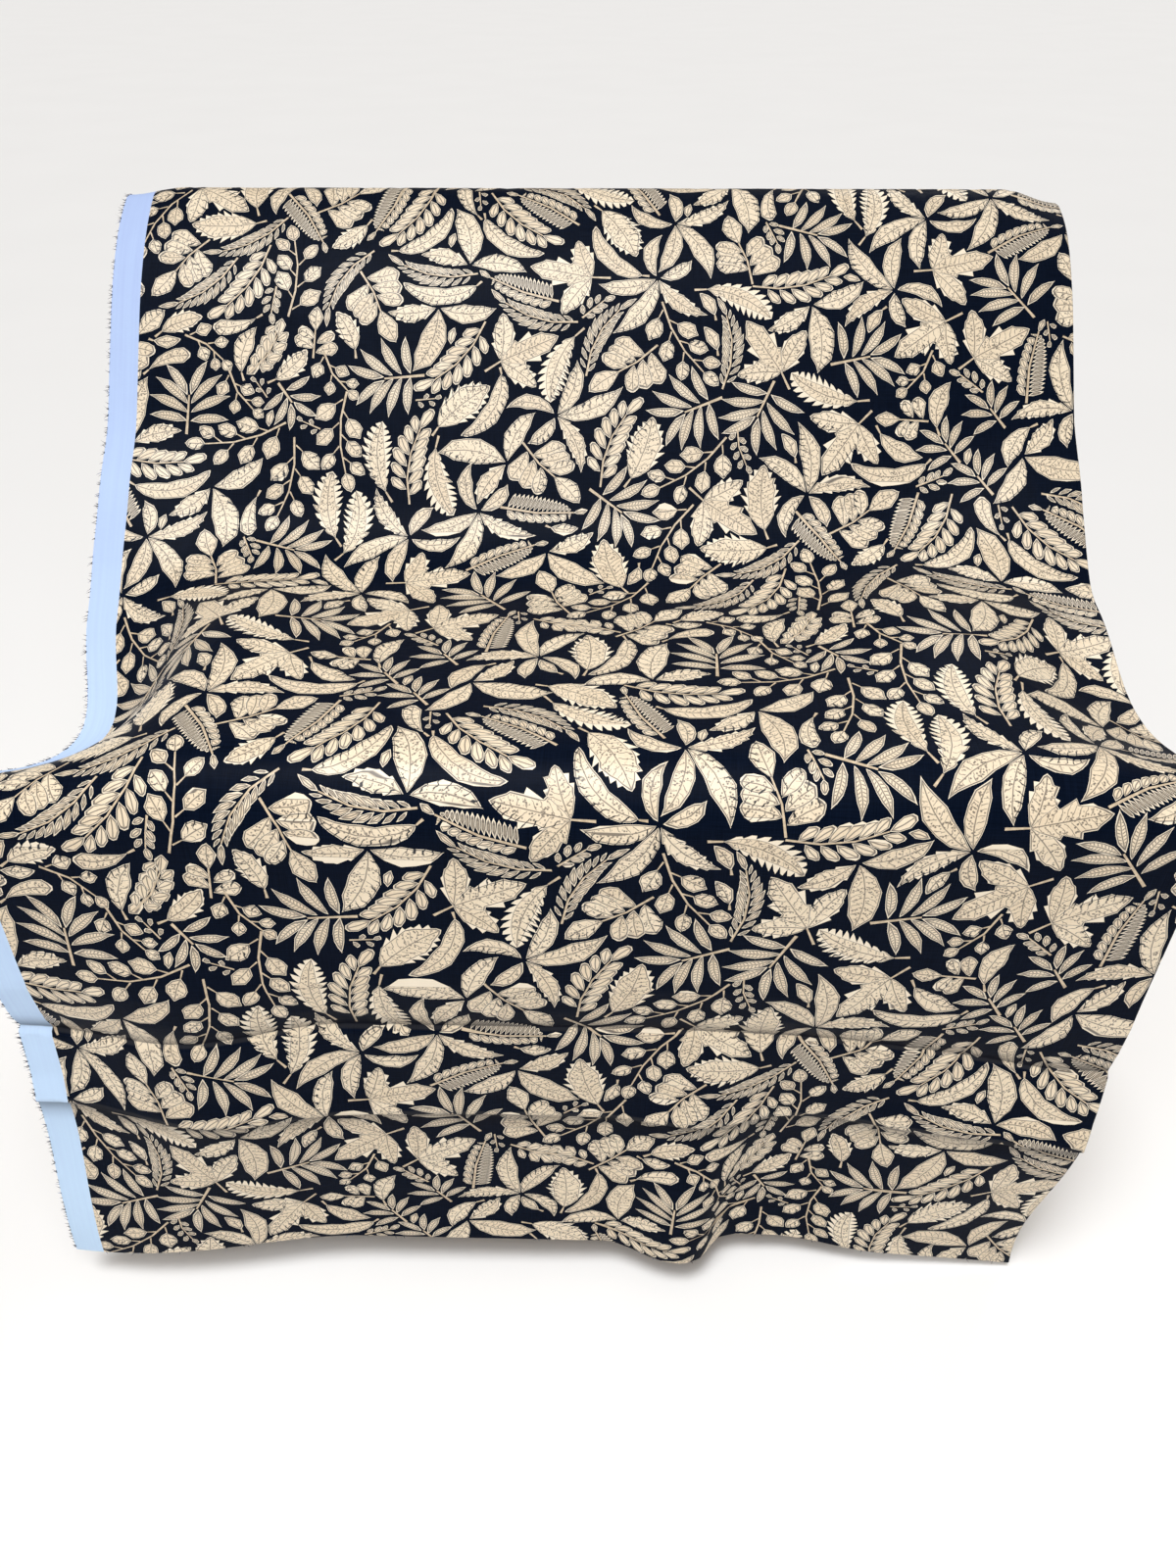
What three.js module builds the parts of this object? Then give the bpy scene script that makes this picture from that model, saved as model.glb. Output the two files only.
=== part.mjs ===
// A cut length of printed cotton, doubled lengthwise and draped over a plain wooden display rack.
// Millimetres, z up. x runs across the cloth, y away from its front, and the origin lies under the
// middle of the base board. "run" is measured along the cloth from the front hem over the rack to the
// rear hem, "across" from the middle of the doubled width, and "depth" inward from the printed face.
import * as THREE from "three";

// The cloth. It is doubled: the fold is its right edge, and both selvedges lie at its left edge.
const HALF_WIDTH = 275;
const PLY = 1;
const SLIT = 0.8;
const DOUBLED = 2 * PLY + SLIT;
const BACK_SELVEDGE_INSET = 3;
const HEM = { y: -209, z: 15 };
const HEM_BOW = { rise: 12, fade: 60 };

// The cloth's side view from the front hem, plumb at first. A positive turn bends the path up.
const SIDE_PATH = [
  { part: "lower drop", length: 124, turn: 0, steps: 5 },
  { part: "creased band", length: 41, turn: 0, steps: 2 },
  { part: "upper drop", length: 137, turn: 0, steps: 5 },
  { part: "front bend", length: 54, turn: -93, steps: 7 },
  { part: "seat", length: 140, turn: 0, steps: 5 },
  { part: "valley", length: 76, turn: 54, steps: 5 },
  { part: "back", length: 100, turn: 0, steps: 3 },
  { part: "bowed back", length: 86, turn: -20, steps: 4 },
  { part: "crest", length: 34, turn: -121, steps: 6 },
  { part: "rear drop", length: 208, turn: 0, steps: 4 },
];

// The front drop hangs out of true: its threads lean, from nothing up on the back to this slope.
const TILT = { slope: 0.038, none: 620, full: 320, lean: 0.85 };

// Soft folds, each a rounded hill or hollow on the cloth. lift is upward and back is along y.
const FOLDS = [
  { name: "left end sinks", run: 412, halfRun: 128, across: -275, halfAcross: 105, lift: -44, back: -5 },
  { name: "left valley fills", run: 560, halfRun: 60, across: -275, halfAcross: 110, lift: 7, back: -9 },
  { name: "left ridge", run: 455, halfRun: 115, across: -185, halfAcross: 80, lift: 9, back: 3 },
  { name: "right ridge", run: 480, halfRun: 110, across: 177, halfAcross: 85, lift: 11, back: -1 },
  { name: "right end sinks", run: 410, halfRun: 100, across: 275, halfAcross: 85, lift: -20, back: 0 },
  { name: "right valley fills", run: 560, halfRun: 65, across: 275, halfAcross: 110, lift: 8, back: -10 },
  { name: "left crest corner", run: 790, halfRun: 70, across: -275, halfAcross: 34, lift: -5, back: -1 },
  { name: "right crest corner", run: 790, halfRun: 70, across: 275, halfAcross: 34, lift: -9, back: -2 },
  { name: "left drop fold", run: 150, halfRun: 170, across: -185, halfAcross: 80, lift: 0, back: -14 },
  { name: "left hem curls", run: 0, halfRun: 110, across: -240, halfAcross: 130, lift: 0, back: -14 },
  { name: "right hem flute", run: 20, halfRun: 160, across: 70, halfAcross: 45, lift: 0, back: -13 },
  { name: "hollow by the flute", run: 60, halfRun: 150, across: 135, halfAcross: 65, lift: 0, back: 10 },
  { name: "middle hollow", run: 100, halfRun: 90, across: 30, halfAcross: 220, lift: 0, back: 6 },
  { name: "middle swell", run: 190, halfRun: 90, across: -60, halfAcross: 130, lift: 0, back: -3 },
  { name: "right edge swell", run: 120, halfRun: 100, across: 275, halfAcross: 90, lift: 0, back: -8 },
  { name: "hem swell", run: 0, halfRun: 45, across: -60, halfAcross: 240, lift: 0, back: -4 },
];

// The crease that folding on a board left right across the drop, a blunt V.
const CREASE = { run: 165, below: 41, above: 36, back: 5 };

// Spans across the cloth, from its left edge to the axis of its right-hand fold.
const FOLD_AXIS = HALF_WIDTH - DOUBLED / 2;
const SPANS = [
  { to: -245, steps: 2 },
  { to: -145, steps: 5 },
  { to: 25, steps: 4 },
  { to: 145, steps: 6 },
  { to: 245, steps: 4 },
  { to: FOLD_AXIS, steps: 2 },
];
const FOLD_STEPS = 4;
const MEASURE_STEP = 5;
const SLOPE_STEP = 1;

// The rack. Its pieces lie this far from each other, and from the cloth that they carry.
const JOINT_GAP = 0.3;
const BOARD_GAP = 0.5;
const RIDGE_GAP = 0.9;
const RAIL_GAP = 0.8;
const CHEEK = { across: 175, thickness: 12, ridgeFrom: 370, ridgeTo: 530 };
const CHEEK_FEET = { front: -150, rear: 150 };
const NOSE_ARC = { radius: 28, from: 95, to: 185, steps: 6 };
const CRADLE_ARC = { from: -50, to: -150, steps: 6 };
const BASE = { halfWidth: 205, halfDepth: 170, thickness: 15, corner: 12, cornerSteps: 6 };
const SEAT_BOARD = { thickness: 12, rearInset: 10 };
const REST_BOARD = { halfWidth: 235, thickness: 12, from: 600 };
const TOP_RAIL = { halfLength: 237 };
const EASE = 2;
const RAIL_SIDES = 32;

const RADIANS = Math.PI / 180;
const clamp01 = (value) => Math.min(Math.max(value, 0), 1);
const bell = (distance) => Math.cos((clamp01(Math.abs(distance)) * Math.PI) / 2) ** 2;
const ease = (value) => clamp01(value) ** 2 * (3 - 2 * clamp01(value));

// Where each stretch of the side path starts, and its heading there.
function layPath() {
  let start = { run: 0, y: HEM.y, z: HEM.z, heading: 90 * RADIANS };
  return SIDE_PATH.map((stretch) => {
    const laid = { ...stretch, start, bend: (stretch.turn * RADIANS) / stretch.length };
    start = { run: start.run + stretch.length, ...alongStretch(laid, stretch.length) };
    return laid;
  });
}

function alongStretch({ start, bend }, distance) {
  const heading = start.heading + bend * distance;
  if (bend === 0) {
    const y = start.y + distance * Math.cos(heading);
    return { y, z: start.z + distance * Math.sin(heading), heading };
  }
  const y = start.y + (Math.sin(heading) - Math.sin(start.heading)) / bend;
  const z = start.z - (Math.cos(heading) - Math.cos(start.heading)) / bend;
  return { y, z, heading };
}

const PATH = layPath();
const stretchNamed = (part) => PATH.find((stretch) => stretch.part === part);

function sidePoint(run) {
  const stretch = PATH.findLast(({ start }) => start.run <= run) ?? PATH[0];
  return alongStretch(stretch, run - stretch.start.run);
}

const slopeAt = (run) => TILT.slope * ease((TILT.none - run) / (TILT.none - TILT.full));

// How far the threads have leant to the left by this run.
function leanAt(run) {
  let lean = 0;
  for (let at = TILT.none; at > run; at -= MEASURE_STEP) {
    lean += slopeAt(at) * Math.min(MEASURE_STEP, at - run) * TILT.lean;
  }
  return lean;
}

function creaseDepth(run) {
  const reach = run < CREASE.run ? CREASE.below : CREASE.above;
  return CREASE.back * clamp01(1 - Math.abs(run - CREASE.run) / reach);
}

// The printed face's y and z.
function faceHeight(run, across) {
  const { y, z } = sidePoint(run - slopeAt(run) * across);
  const face = { y: y + creaseDepth(run), z };
  for (const fold of FOLDS) {
    const share = bell((run - fold.run) / fold.halfRun) * bell((across - fold.across) / fold.halfAcross);
    face.y += fold.back * share;
    face.z += fold.lift * share;
  }
  return face;
}

// Cloth doesn't stretch: a step across that rises or sinks gains less in x.
function faceX(run, across) {
  const count = Math.max(Math.ceil(Math.abs(across) / MEASURE_STEP), 1);
  const step = across / count;
  let x = -leanAt(run);
  let last = faceHeight(run, 0);
  for (let index = 1; index <= count; index += 1) {
    const next = faceHeight(run, index * step);
    const gained = step ** 2 - (next.y - last.y) ** 2 - (next.z - last.z) ** 2;
    x += Math.sign(step) * Math.sqrt(Math.max(gained, 0));
    last = next;
  }
  return x;
}

// A point of the cloth at a depth behind its printed face.
function clothPoint(run, across, depth) {
  const { y, z } = faceHeight(run, across);
  const above = faceHeight(run + SLOPE_STEP, across);
  const below = faceHeight(run - SLOPE_STEP, across);
  const right = faceHeight(run, across + SLOPE_STEP);
  const left = faceHeight(run, across - SLOPE_STEP);
  const leant = 2 * SLOPE_STEP * slopeAt(run) * TILT.lean;
  const up = new THREE.Vector3(leant, above.y - below.y, above.z - below.z);
  const over = new THREE.Vector3(2 * SLOPE_STEP, right.y - left.y, right.z - left.z);
  const outward = over.cross(up).normalize();
  return new THREE.Vector3(faceX(run, across), y, z).addScaledVector(outward, -depth);
}

// Points in equal steps through a list of spans.
function divide(from, spans) {
  const points = [from];
  for (const { to, steps } of spans) {
    const start = points.at(-1);
    for (let step = 1; step <= steps; step += 1) {
      points.push(start + ((to - start) * step) / steps);
    }
  }
  return points;
}

// The front hem is cut a little bowed, so that the first rows start higher in the middle.
function bowedPoint(run, across, depth) {
  const bow = HEM_BOW.rise * (1 - (across / HALF_WIDTH) ** 2);
  return clothPoint(run + bow * clamp01(1 - run / HEM_BOW.fade), across, depth);
}

// The section across the doubled cloth: front layer, rounded fold, back layer.
function doubledSection(run, columns) {
  const outer = columns.map((across) => bowedPoint(run, across, 0));
  const inner = columns.map((across) => bowedPoint(run, across, PLY));
  for (let step = 1; step < FOLD_STEPS; step += 1) {
    const angle = (Math.PI * step) / FOLD_STEPS;
    const wrap = (radius) =>
      bowedPoint(run, FOLD_AXIS + radius * Math.sin(angle), DOUBLED / 2 - radius * Math.cos(angle));
    outer.push(wrap(DOUBLED / 2));
    inner.push(wrap(SLIT / 2));
  }
  for (const across of columns.toReversed()) {
    const behind = Math.max(across, BACK_SELVEDGE_INSET - HALF_WIDTH);
    outer.push(bowedPoint(run, behind, DOUBLED));
    inner.push(bowedPoint(run, behind, PLY + SLIT));
  }
  return { outer, inner };
}

// A closed solid swept through sections that each have an outer and an inner line.
function sweptStrip(sections) {
  const rings = sections.map(({ outer, inner }) => [...outer, ...inner.toReversed()]);
  const size = rings[0].length;
  const index = [];
  const quad = (a, b, c, d) => index.push(a, b, c, a, c, d);
  for (let row = 0; row + 1 < rings.length; row += 1) {
    for (let point = 0; point < size; point += 1) {
      const next = (point + 1) % size;
      quad(row * size + point, row * size + next, (row + 1) * size + next, (row + 1) * size + point);
    }
  }
  const end = (rings.length - 1) * size;
  for (let point = 0; point + 1 < size / 2; point += 1) {
    const facing = size - 1 - point;
    quad(point, facing, facing - 1, point + 1);
    quad(end + point, end + point + 1, end + facing - 1, end + facing);
  }
  const geometry = new THREE.BufferGeometry().setFromPoints(rings.flat());
  geometry.setIndex(index);
  geometry.computeVertexNormals();
  return geometry;
}

const ROWS = divide(0, PATH.map(({ start, length, steps }) => ({ to: start.run + length, steps })));
const rowsBetween = (low, high) => ROWS.filter((run) => run > low && run < high);

function clothGeometry() {
  const columns = divide(-HALF_WIDTH, SPANS);
  return sweptStrip(ROWS.map((run) => doubledSection(run, columns)));
}

// A side-view point of the cloth's line at a depth, without its folds.
function insidePath(run, depth) {
  const { y, z, heading } = sidePoint(run);
  return new THREE.Vector2(y + depth * Math.sin(heading), z - depth * Math.cos(heading));
}

// The middle that a bend turns about, its radius, and where it starts.
function bendCentre(part) {
  const { start, bend } = stretchNamed(part);
  return { centre: insidePath(start.run, -1 / bend), radius: -1 / bend, run: start.run };
}

const FRONT_BEND = bendCentre("front bend");
const CREST = bendCentre("crest");

// Points on an arc about a centre in the side view, its angles in degrees from the y axis.
function arcPoints(centre, { radius, from, to, steps }) {
  return divide(from, [{ to, steps }]).map((degrees) => {
    const spoke = new THREE.Vector2(radius, 0).rotateAround(new THREE.Vector2(), degrees * RADIANS);
    return spoke.add(centre);
  });
}

// A board drawn in side view and standing this wide in x, with eased edges.
const SIDE_ON = new THREE.Matrix4().makeBasis(
  new THREE.Vector3(0, 1, 0),
  new THREE.Vector3(0, 0, 1),
  new THREE.Vector3(1, 0, 0),
);
const eased = (thickness) => ({
  depth: thickness - 2 * EASE,
  bevelThickness: EASE,
  bevelSize: EASE,
  bevelOffset: -EASE,
  bevelSegments: 1,
});
const sideBoard = (outline, width) => new THREE.ExtrudeGeometry(new THREE.Shape(outline), eased(width));

function standSideOn(mesh, lowX) {
  mesh.quaternion.setFromRotationMatrix(SIDE_ON);
  mesh.position.x = lowX + EASE;
  return mesh;
}

const frontRailRadius = FRONT_BEND.radius - DOUBLED - RAIL_GAP;
const topRailRadius = CREST.radius - DOUBLED - RAIL_GAP;

// The rest board follows the back's rows, up to the last one that clears the top rail.
const REST_ROWS = [REST_BOARD.from, ...rowsBetween(REST_BOARD.from, CREST.run - topRailRadius)];

// The line under a ridge of the cloth, as low as the cloth is over the cheek's whole thickness.
function ridgeLine(across) {
  const edges = [-0.5, 0, 0.5].map((share) => across + share * CHEEK.thickness);
  return rowsBetween(CHEEK.ridgeFrom, CHEEK.ridgeTo).map((run) => {
    const under = edges.map((edge) => clothPoint(run, edge, DOUBLED + RIDGE_GAP));
    const { y, z } = under.reduce((low, point) => (point.z < low.z ? point : low));
    return new THREE.Vector2(y, z);
  });
}

// A side panel of the rack: feet, a cradle for the top rail, the back, the ridge and a rounded nose.
function cheekOutline(side) {
  const foot = BASE.thickness + JOINT_GAP;
  const behindRest = DOUBLED + BOARD_GAP + REST_BOARD.thickness + JOINT_GAP;
  const back = [CHEEK.ridgeTo + REST_BOARD.thickness, ...REST_ROWS].map((run) => insidePath(run, behindRest));
  return [
    new THREE.Vector2(CHEEK_FEET.front, foot),
    new THREE.Vector2(CHEEK_FEET.rear, foot),
    ...arcPoints(CREST.centre, { ...CRADLE_ARC, radius: topRailRadius + 2 * JOINT_GAP }),
    ...back.toReversed(),
    ...ridgeLine(side * CHEEK.across).toReversed(),
    ...arcPoints(FRONT_BEND.centre, NOSE_ARC),
  ];
}

// The seat board starts where its underside clears the front rail.
function seatBoardOutline() {
  const { start, length } = stretchNamed("seat");
  const top = DOUBLED + BOARD_GAP;
  const bottom = top + SEAT_BOARD.thickness;
  const reach = Math.sqrt((frontRailRadius + JOINT_GAP) ** 2 - (FRONT_BEND.radius - bottom) ** 2);
  const front = start.run + reach + JOINT_GAP;
  const rear = start.run + length - SEAT_BOARD.rearInset;
  return [insidePath(front, bottom), insidePath(rear, bottom), insidePath(rear, top), insidePath(front, top)];
}

function restBoardOutline() {
  const top = DOUBLED + BOARD_GAP;
  return [
    ...REST_ROWS.map((run) => insidePath(run, top + REST_BOARD.thickness)),
    ...REST_ROWS.toReversed().map((run) => insidePath(run, top)),
  ];
}

// A round bar about the y axis, with its ends eased.
function railGeometry(radius, halfLength) {
  const profile = [
    [0, -halfLength],
    [radius - EASE, -halfLength],
    [radius, EASE - halfLength],
    [radius, halfLength - EASE],
    [radius - EASE, halfLength],
    [0, halfLength],
  ];
  return new THREE.LatheGeometry(profile.map(([x, y]) => new THREE.Vector2(x, y)), RAIL_SIDES);
}

function baseGeometry() {
  const { halfWidth, halfDepth, corner } = BASE;
  const shape = new THREE.Shape();
  shape.moveTo(halfWidth, corner - halfDepth);
  shape.absarc(halfWidth - corner, halfDepth - corner, corner, 0, Math.PI / 2);
  shape.absarc(corner - halfWidth, halfDepth - corner, corner, Math.PI / 2, Math.PI);
  shape.absarc(corner - halfWidth, corner - halfDepth, corner, Math.PI, 1.5 * Math.PI);
  shape.absarc(halfWidth - corner, corner - halfDepth, corner, 1.5 * Math.PI, 2 * Math.PI);
  return new THREE.ExtrudeGeometry(shape, { ...eased(BASE.thickness), curveSegments: BASE.cornerSteps });
}

const cotton = () => new THREE.MeshStandardMaterial({ color: 0x8a775c, roughness: 0.85, metalness: 0 });
const plywood = () => new THREE.MeshStandardMaterial({ color: 0xd8bd93, roughness: 0.6, metalness: 0 });
const beech = () => new THREE.MeshStandardMaterial({ color: 0xcfa878, roughness: 0.5, metalness: 0 });

function named(name, geometry, material) {
  const mesh = new THREE.Mesh(geometry, material);
  mesh.name = name;
  return mesh;
}

function lyingRail(name, radius, halfLength, { centre }) {
  const rail = named(name, railGeometry(radius, halfLength), beech());
  rail.rotation.z = -Math.PI / 2;
  rail.position.set(0, centre.x, centre.y);
  return rail;
}

function displayRack() {
  const rack = new THREE.Group();
  const halfCheek = CHEEK.thickness / 2;
  for (const [name, side] of [["cheek_left", -1], ["cheek_right", 1]]) {
    const cheek = named(name, sideBoard(cheekOutline(side), CHEEK.thickness), plywood());
    rack.add(standSideOn(cheek, side * CHEEK.across - halfCheek));
  }
  const inside = CHEEK.across - halfCheek - JOINT_GAP;
  const seat = named("seat_board", sideBoard(seatBoardOutline(), 2 * inside), plywood());
  rack.add(standSideOn(seat, -inside));
  const rest = named("rest_board", sideBoard(restBoardOutline(), 2 * REST_BOARD.halfWidth), plywood());
  rack.add(standSideOn(rest, -REST_BOARD.halfWidth));
  rack.add(lyingRail("front_rail", frontRailRadius, inside, FRONT_BEND));
  rack.add(lyingRail("top_rail", topRailRadius, TOP_RAIL.halfLength, CREST));
  const base = named("base_board", baseGeometry(), plywood());
  base.position.z = EASE;
  rack.add(base);
  return rack;
}

const part = new THREE.Group();
part.add(named("cloth", clothGeometry(), cotton()));
part.add(displayRack());

export default part;
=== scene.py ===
"""A cut length of leaf-printed cotton, doubled lengthwise and draped over a plain wooden display rack."""
import math

import bpy
import numpy as np
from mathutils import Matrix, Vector
from mathutils.geometry import delaunay_2d_cdt


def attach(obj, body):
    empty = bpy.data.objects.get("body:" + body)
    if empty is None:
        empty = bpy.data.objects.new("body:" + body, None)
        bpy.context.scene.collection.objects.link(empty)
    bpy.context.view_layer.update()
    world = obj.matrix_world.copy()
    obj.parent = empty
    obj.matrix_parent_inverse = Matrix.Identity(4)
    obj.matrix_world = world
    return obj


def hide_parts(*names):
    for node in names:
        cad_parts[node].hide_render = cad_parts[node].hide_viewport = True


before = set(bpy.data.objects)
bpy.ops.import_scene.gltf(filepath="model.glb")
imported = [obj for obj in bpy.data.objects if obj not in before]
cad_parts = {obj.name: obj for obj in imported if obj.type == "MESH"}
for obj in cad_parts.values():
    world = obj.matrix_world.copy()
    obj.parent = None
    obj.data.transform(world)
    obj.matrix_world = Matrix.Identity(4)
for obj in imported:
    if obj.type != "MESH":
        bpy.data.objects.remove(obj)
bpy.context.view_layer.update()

# The cloth's shape in millimetres: the part's, with sharper creases and flute. "run" is measured along the
# cloth from its front hem, "across" from the middle of its doubled width, and "depth" inward from the
# printed face.
MM = 0.001
HALF_WIDTH = 275.0
LENGTH = 1000.0
LAYER_GAP = 2.0
FOLD_AXIS = 273.6
BACK_SELVEDGE = -272.0
HEM_Y, HEM_Z = -209.0, 15.0

# The front hem is cut to a bow: its rise in the middle, and the run where it ends.
BOW_RISE, BOW_FADE = 12.0, 60.0

# The cloth from the side, from its front hem on: each stretch's length, and its turn in degrees.
SIDE_PATH = (
    (124, 0), (41, 0), (137, 0), (54, -93), (140, 0), (76, 54), (100, 0), (86, -20), (34, -121), (208, 0),
)

# The front drop hangs askew: its slope, the runs where it begins and where it is full, and its lean in x.
TILT_SLOPE, TILT_NONE, TILT_FULL, TILT_LEAN = 0.038, 620.0, 320.0, 0.85

# The creases that a board's edges pressed into the cloth, with a shallow step between them: run, bow, reach
# below, reach above, and push to the back, whose strength wavers across.
STEP_RUN, STEP_BOW, STEP_BELOW, STEP_ABOVE, STEP_BACK = 167.5, 15.5, 48.5, 33.5, 5.0
PRESSES = ((STEP_RUN - STEP_BELOW, -3.0, 3.0, 17.0, -2.8), (STEP_RUN, STEP_BOW, 2.8, 14.0, 2.0))
BOW_REACH = 240.0
PRESS_LEAST, PRESS_WAVER, PRESS_WAVE = 0.8, 0.2, 31

# The flute's sharper flank, too fine for the part: across at the hem, half its reach, and push to the back.
# It leans to the fold with the run and fades where the flute ends.
FLANK = ((80, 24, -0.8), (103, 24, 2.4))
FLANK_LEAN, FLANK_RUN = 0.13, 150.0

# Soft folds: run, half its reach, across, half its reach, lift and push to the back.
FOLDS = (
    (412, 128, -275, 105, -44, -5),
    (560, 60, -275, 110, 7, -9),
    (455, 115, -185, 80, 9, 3),
    (480, 110, 177, 85, 11, -1),
    (410, 100, 275, 85, -20, 0),
    (560, 65, 275, 110, 8, -10),
    (790, 70, -275, 34, -5, -1),
    (790, 70, 275, 34, -9, -2),
    (150, 170, -185, 80, 0, -14),
    (0, 110, -240, 130, 0, -14),
    (20, 160, 70, 45, 0, -13),
    (60, 150, 135, 65, 0, 10),
    (100, 90, 30, 220, 0, 6),
    (190, 90, -60, 130, 0, -3),
    (120, 100, 275, 90, 0, -8),
    (0, 45, -60, 240, 0, -4),
)


def bell(distance):
    return np.cos(np.clip(np.abs(distance), 0, 1) * math.pi / 2) ** 2


def lay_path():
    """Each stretch of the side path as (run, y, z, heading, bend), where it starts."""
    run, y, z, heading = 0.0, HEM_Y, HEM_Z, math.pi / 2
    laid = []
    for length, turn in SIDE_PATH:
        bend = math.radians(turn) / length
        laid.append((run, y, z, heading, bend))
        ahead = heading + bend * length
        if bend:
            y += (math.sin(ahead) - math.sin(heading)) / bend
            z -= (math.cos(ahead) - math.cos(heading)) / bend
        else:
            y += length * math.cos(heading)
            z += length * math.sin(heading)
        run, heading = run + length, ahead
    return np.array(laid)


PATH = lay_path()


def side_point(run):
    stretch = np.clip(np.searchsorted(PATH[:, 0], run, side="right") - 1, 0, len(PATH) - 1)
    start, y, z, heading, bend = np.moveaxis(PATH[stretch], -1, 0)
    reach = run - start
    safe = np.where(bend == 0, 1, bend)
    ahead = heading + bend * reach
    arc_y = (np.sin(ahead) - np.sin(heading)) / safe
    arc_z = -(np.cos(ahead) - np.cos(heading)) / safe
    y = y + np.where(bend == 0, reach * np.cos(heading), arc_y)
    return y, z + np.where(bend == 0, reach * np.sin(heading), arc_z)


def slope_at(run):
    """How askew the cloth hangs, easing in below the seat."""
    share = np.clip((TILT_NONE - run) / (TILT_NONE - TILT_FULL), 0, 1)
    return TILT_SLOPE * share**2 * (3 - 2 * share)


def arch(across):
    """How far a crease has risen from the sides to the middle, as a share of its bow."""
    return np.maximum(1 - (across / BOW_REACH) ** 2, 0)


def ridge(distance, below, above):
    """One at no distance, falling evenly to nothing at either reach."""
    return np.clip(1 - np.maximum(-distance / below, distance / above), 0, 1)


def face_height(run, across):
    """The printed face's y and z."""
    y, z = side_point(run - slope_at(run) * across)
    y = y + STEP_BACK * ridge(run - STEP_RUN - STEP_BOW * arch(across), STEP_BELOW, STEP_ABOVE)
    for at_run, bow, below, above, back in PRESSES:
        strength = PRESS_LEAST + PRESS_WAVER * np.sin(across / PRESS_WAVE + at_run)
        y = y + back * strength * ridge(run - at_run - bow * arch(across), below, above)
    for at_across, half_across, back in FLANK:
        y = y + back * bell(run / FLANK_RUN) * bell((across - FLANK_LEAN * run - at_across) / half_across)
    for at_run, half_run, at_across, half_across, lift, back in FOLDS:
        share = bell((run - at_run) / half_run) * bell((across - at_across) / half_across)
        y = y + back * share
        z = z + lift * share
    return y, z


# The face's x over a grid. Cloth doesn't stretch: a step across that rises or sinks gains less in x.
GRID_STEP = 2.5
GRID_RUNS = np.arange(-GRID_STEP, LENGTH + 2 * GRID_STEP, GRID_STEP)
GRID_ACROSS = np.arange(-HALF_WIDTH - GRID_STEP, HALF_WIDTH + 1.5 * GRID_STEP, GRID_STEP)


def grid_x():
    run, across = np.meshgrid(GRID_RUNS, GRID_ACROSS, indexing="ij")
    y, z = face_height(run, across)
    gained = np.sqrt(np.maximum(GRID_STEP**2 - np.diff(y, axis=1) ** 2 - np.diff(z, axis=1) ** 2, 0))
    x = np.concatenate([np.zeros((len(GRID_RUNS), 1)), np.cumsum(gained, axis=1)], axis=1)
    middle = np.argmin(np.abs(GRID_ACROSS))
    x -= x[:, middle : middle + 1]
    fine = np.arange(0, TILT_NONE, 1.0)
    lean = np.cumsum(slope_at(fine)[::-1])[::-1] * TILT_LEAN
    return x - np.interp(GRID_RUNS, fine, lean, left=lean[0], right=0)[:, None]


GRID_X = grid_x()


def face_x(run, across):
    row = np.clip((run - GRID_RUNS[0]) / GRID_STEP, 0, len(GRID_RUNS) - 1.001)
    column = np.clip((across - GRID_ACROSS[0]) / GRID_STEP, 0, len(GRID_ACROSS) - 1.001)
    i, j = row.astype(int), column.astype(int)
    a, b = row - i, column - j
    low = GRID_X[i, j] * (1 - b) + GRID_X[i, j + 1] * b
    high = GRID_X[i + 1, j] * (1 - b) + GRID_X[i + 1, j + 1] * b
    return low * (1 - a) + high * a


def cloth_points(run, across, depth):
    """Points at a depth behind the printed face, and the face's outward normals there."""
    bow = BOW_RISE * (1 - (across / HALF_WIDTH) ** 2)
    run = run + bow * np.clip(1 - run / BOW_FADE, 0, 1)
    y, z = face_height(run, across)
    above, below = face_height(run + 1, across), face_height(run - 1, across)
    right, left = face_height(run, across + 1), face_height(run, across - 1)
    up = np.stack([2 * slope_at(run) * TILT_LEAN, above[0] - below[0], above[1] - below[1]], -1)
    over = np.stack([np.full_like(y, 2.0), right[0] - left[0], right[1] - left[1]], -1)
    outward = np.cross(over, up)
    outward /= np.linalg.norm(outward, axis=-1, keepdims=True)
    return np.stack([face_x(run, across), y, z], -1) - outward * depth[..., None], outward


# The sheet as it was cut: "wide" runs from the front layer's selvedge, round the fold, to the back layer's.
FRONT_WIDE = HALF_WIDTH + FOLD_AXIS
FOLD_WIDE = math.pi * LAYER_GAP / 2
SHEET_WIDTH = FRONT_WIDE + FOLD_WIDE + FOLD_AXIS - BACK_SELVEDGE


def hang(wide, run):
    """Where points of the cut sheet hang, and their printed face's normals."""
    angle = np.clip((wide - FRONT_WIDE) / FOLD_WIDE, 0, 1) * math.pi
    radius = LAYER_GAP / 2
    front = np.minimum(wide, FRONT_WIDE) - HALF_WIDTH
    behind = np.maximum(wide - FRONT_WIDE - FOLD_WIDE, 0)
    across = front - behind + radius * np.sin(angle)
    depth = radius * (1 - np.cos(angle))
    points, outward = cloth_points(run, across, depth)
    side, _ = cloth_points(run, across - 1, depth)
    over = points - side
    over /= np.linalg.norm(over, axis=-1, keepdims=True)
    normal = outward * np.cos(angle)[..., None] + over * np.sin(angle)[..., None]
    return points * MM, normal / np.linalg.norm(normal, axis=-1, keepdims=True)


# The print, in millimetres. One repeat holds its motifs, and the next column's repeat starts half a repeat
# up.
SEED = 11
REPEAT_WIDE, REPEAT_LONG, HALF_DROP = 295, 386, 193
VEIN_SLANT = 0.6
STEM_TAPER, STEM_CLEAR = 0.6, 0.15
ROSETTE_HEART = 1.5
RIB_STEP = 8

# An edge's unevenness: its share of the width, and its turn from one station to the next.
WOBBLE, WOBBLE_TURN = 0.1, 2.3

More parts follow.
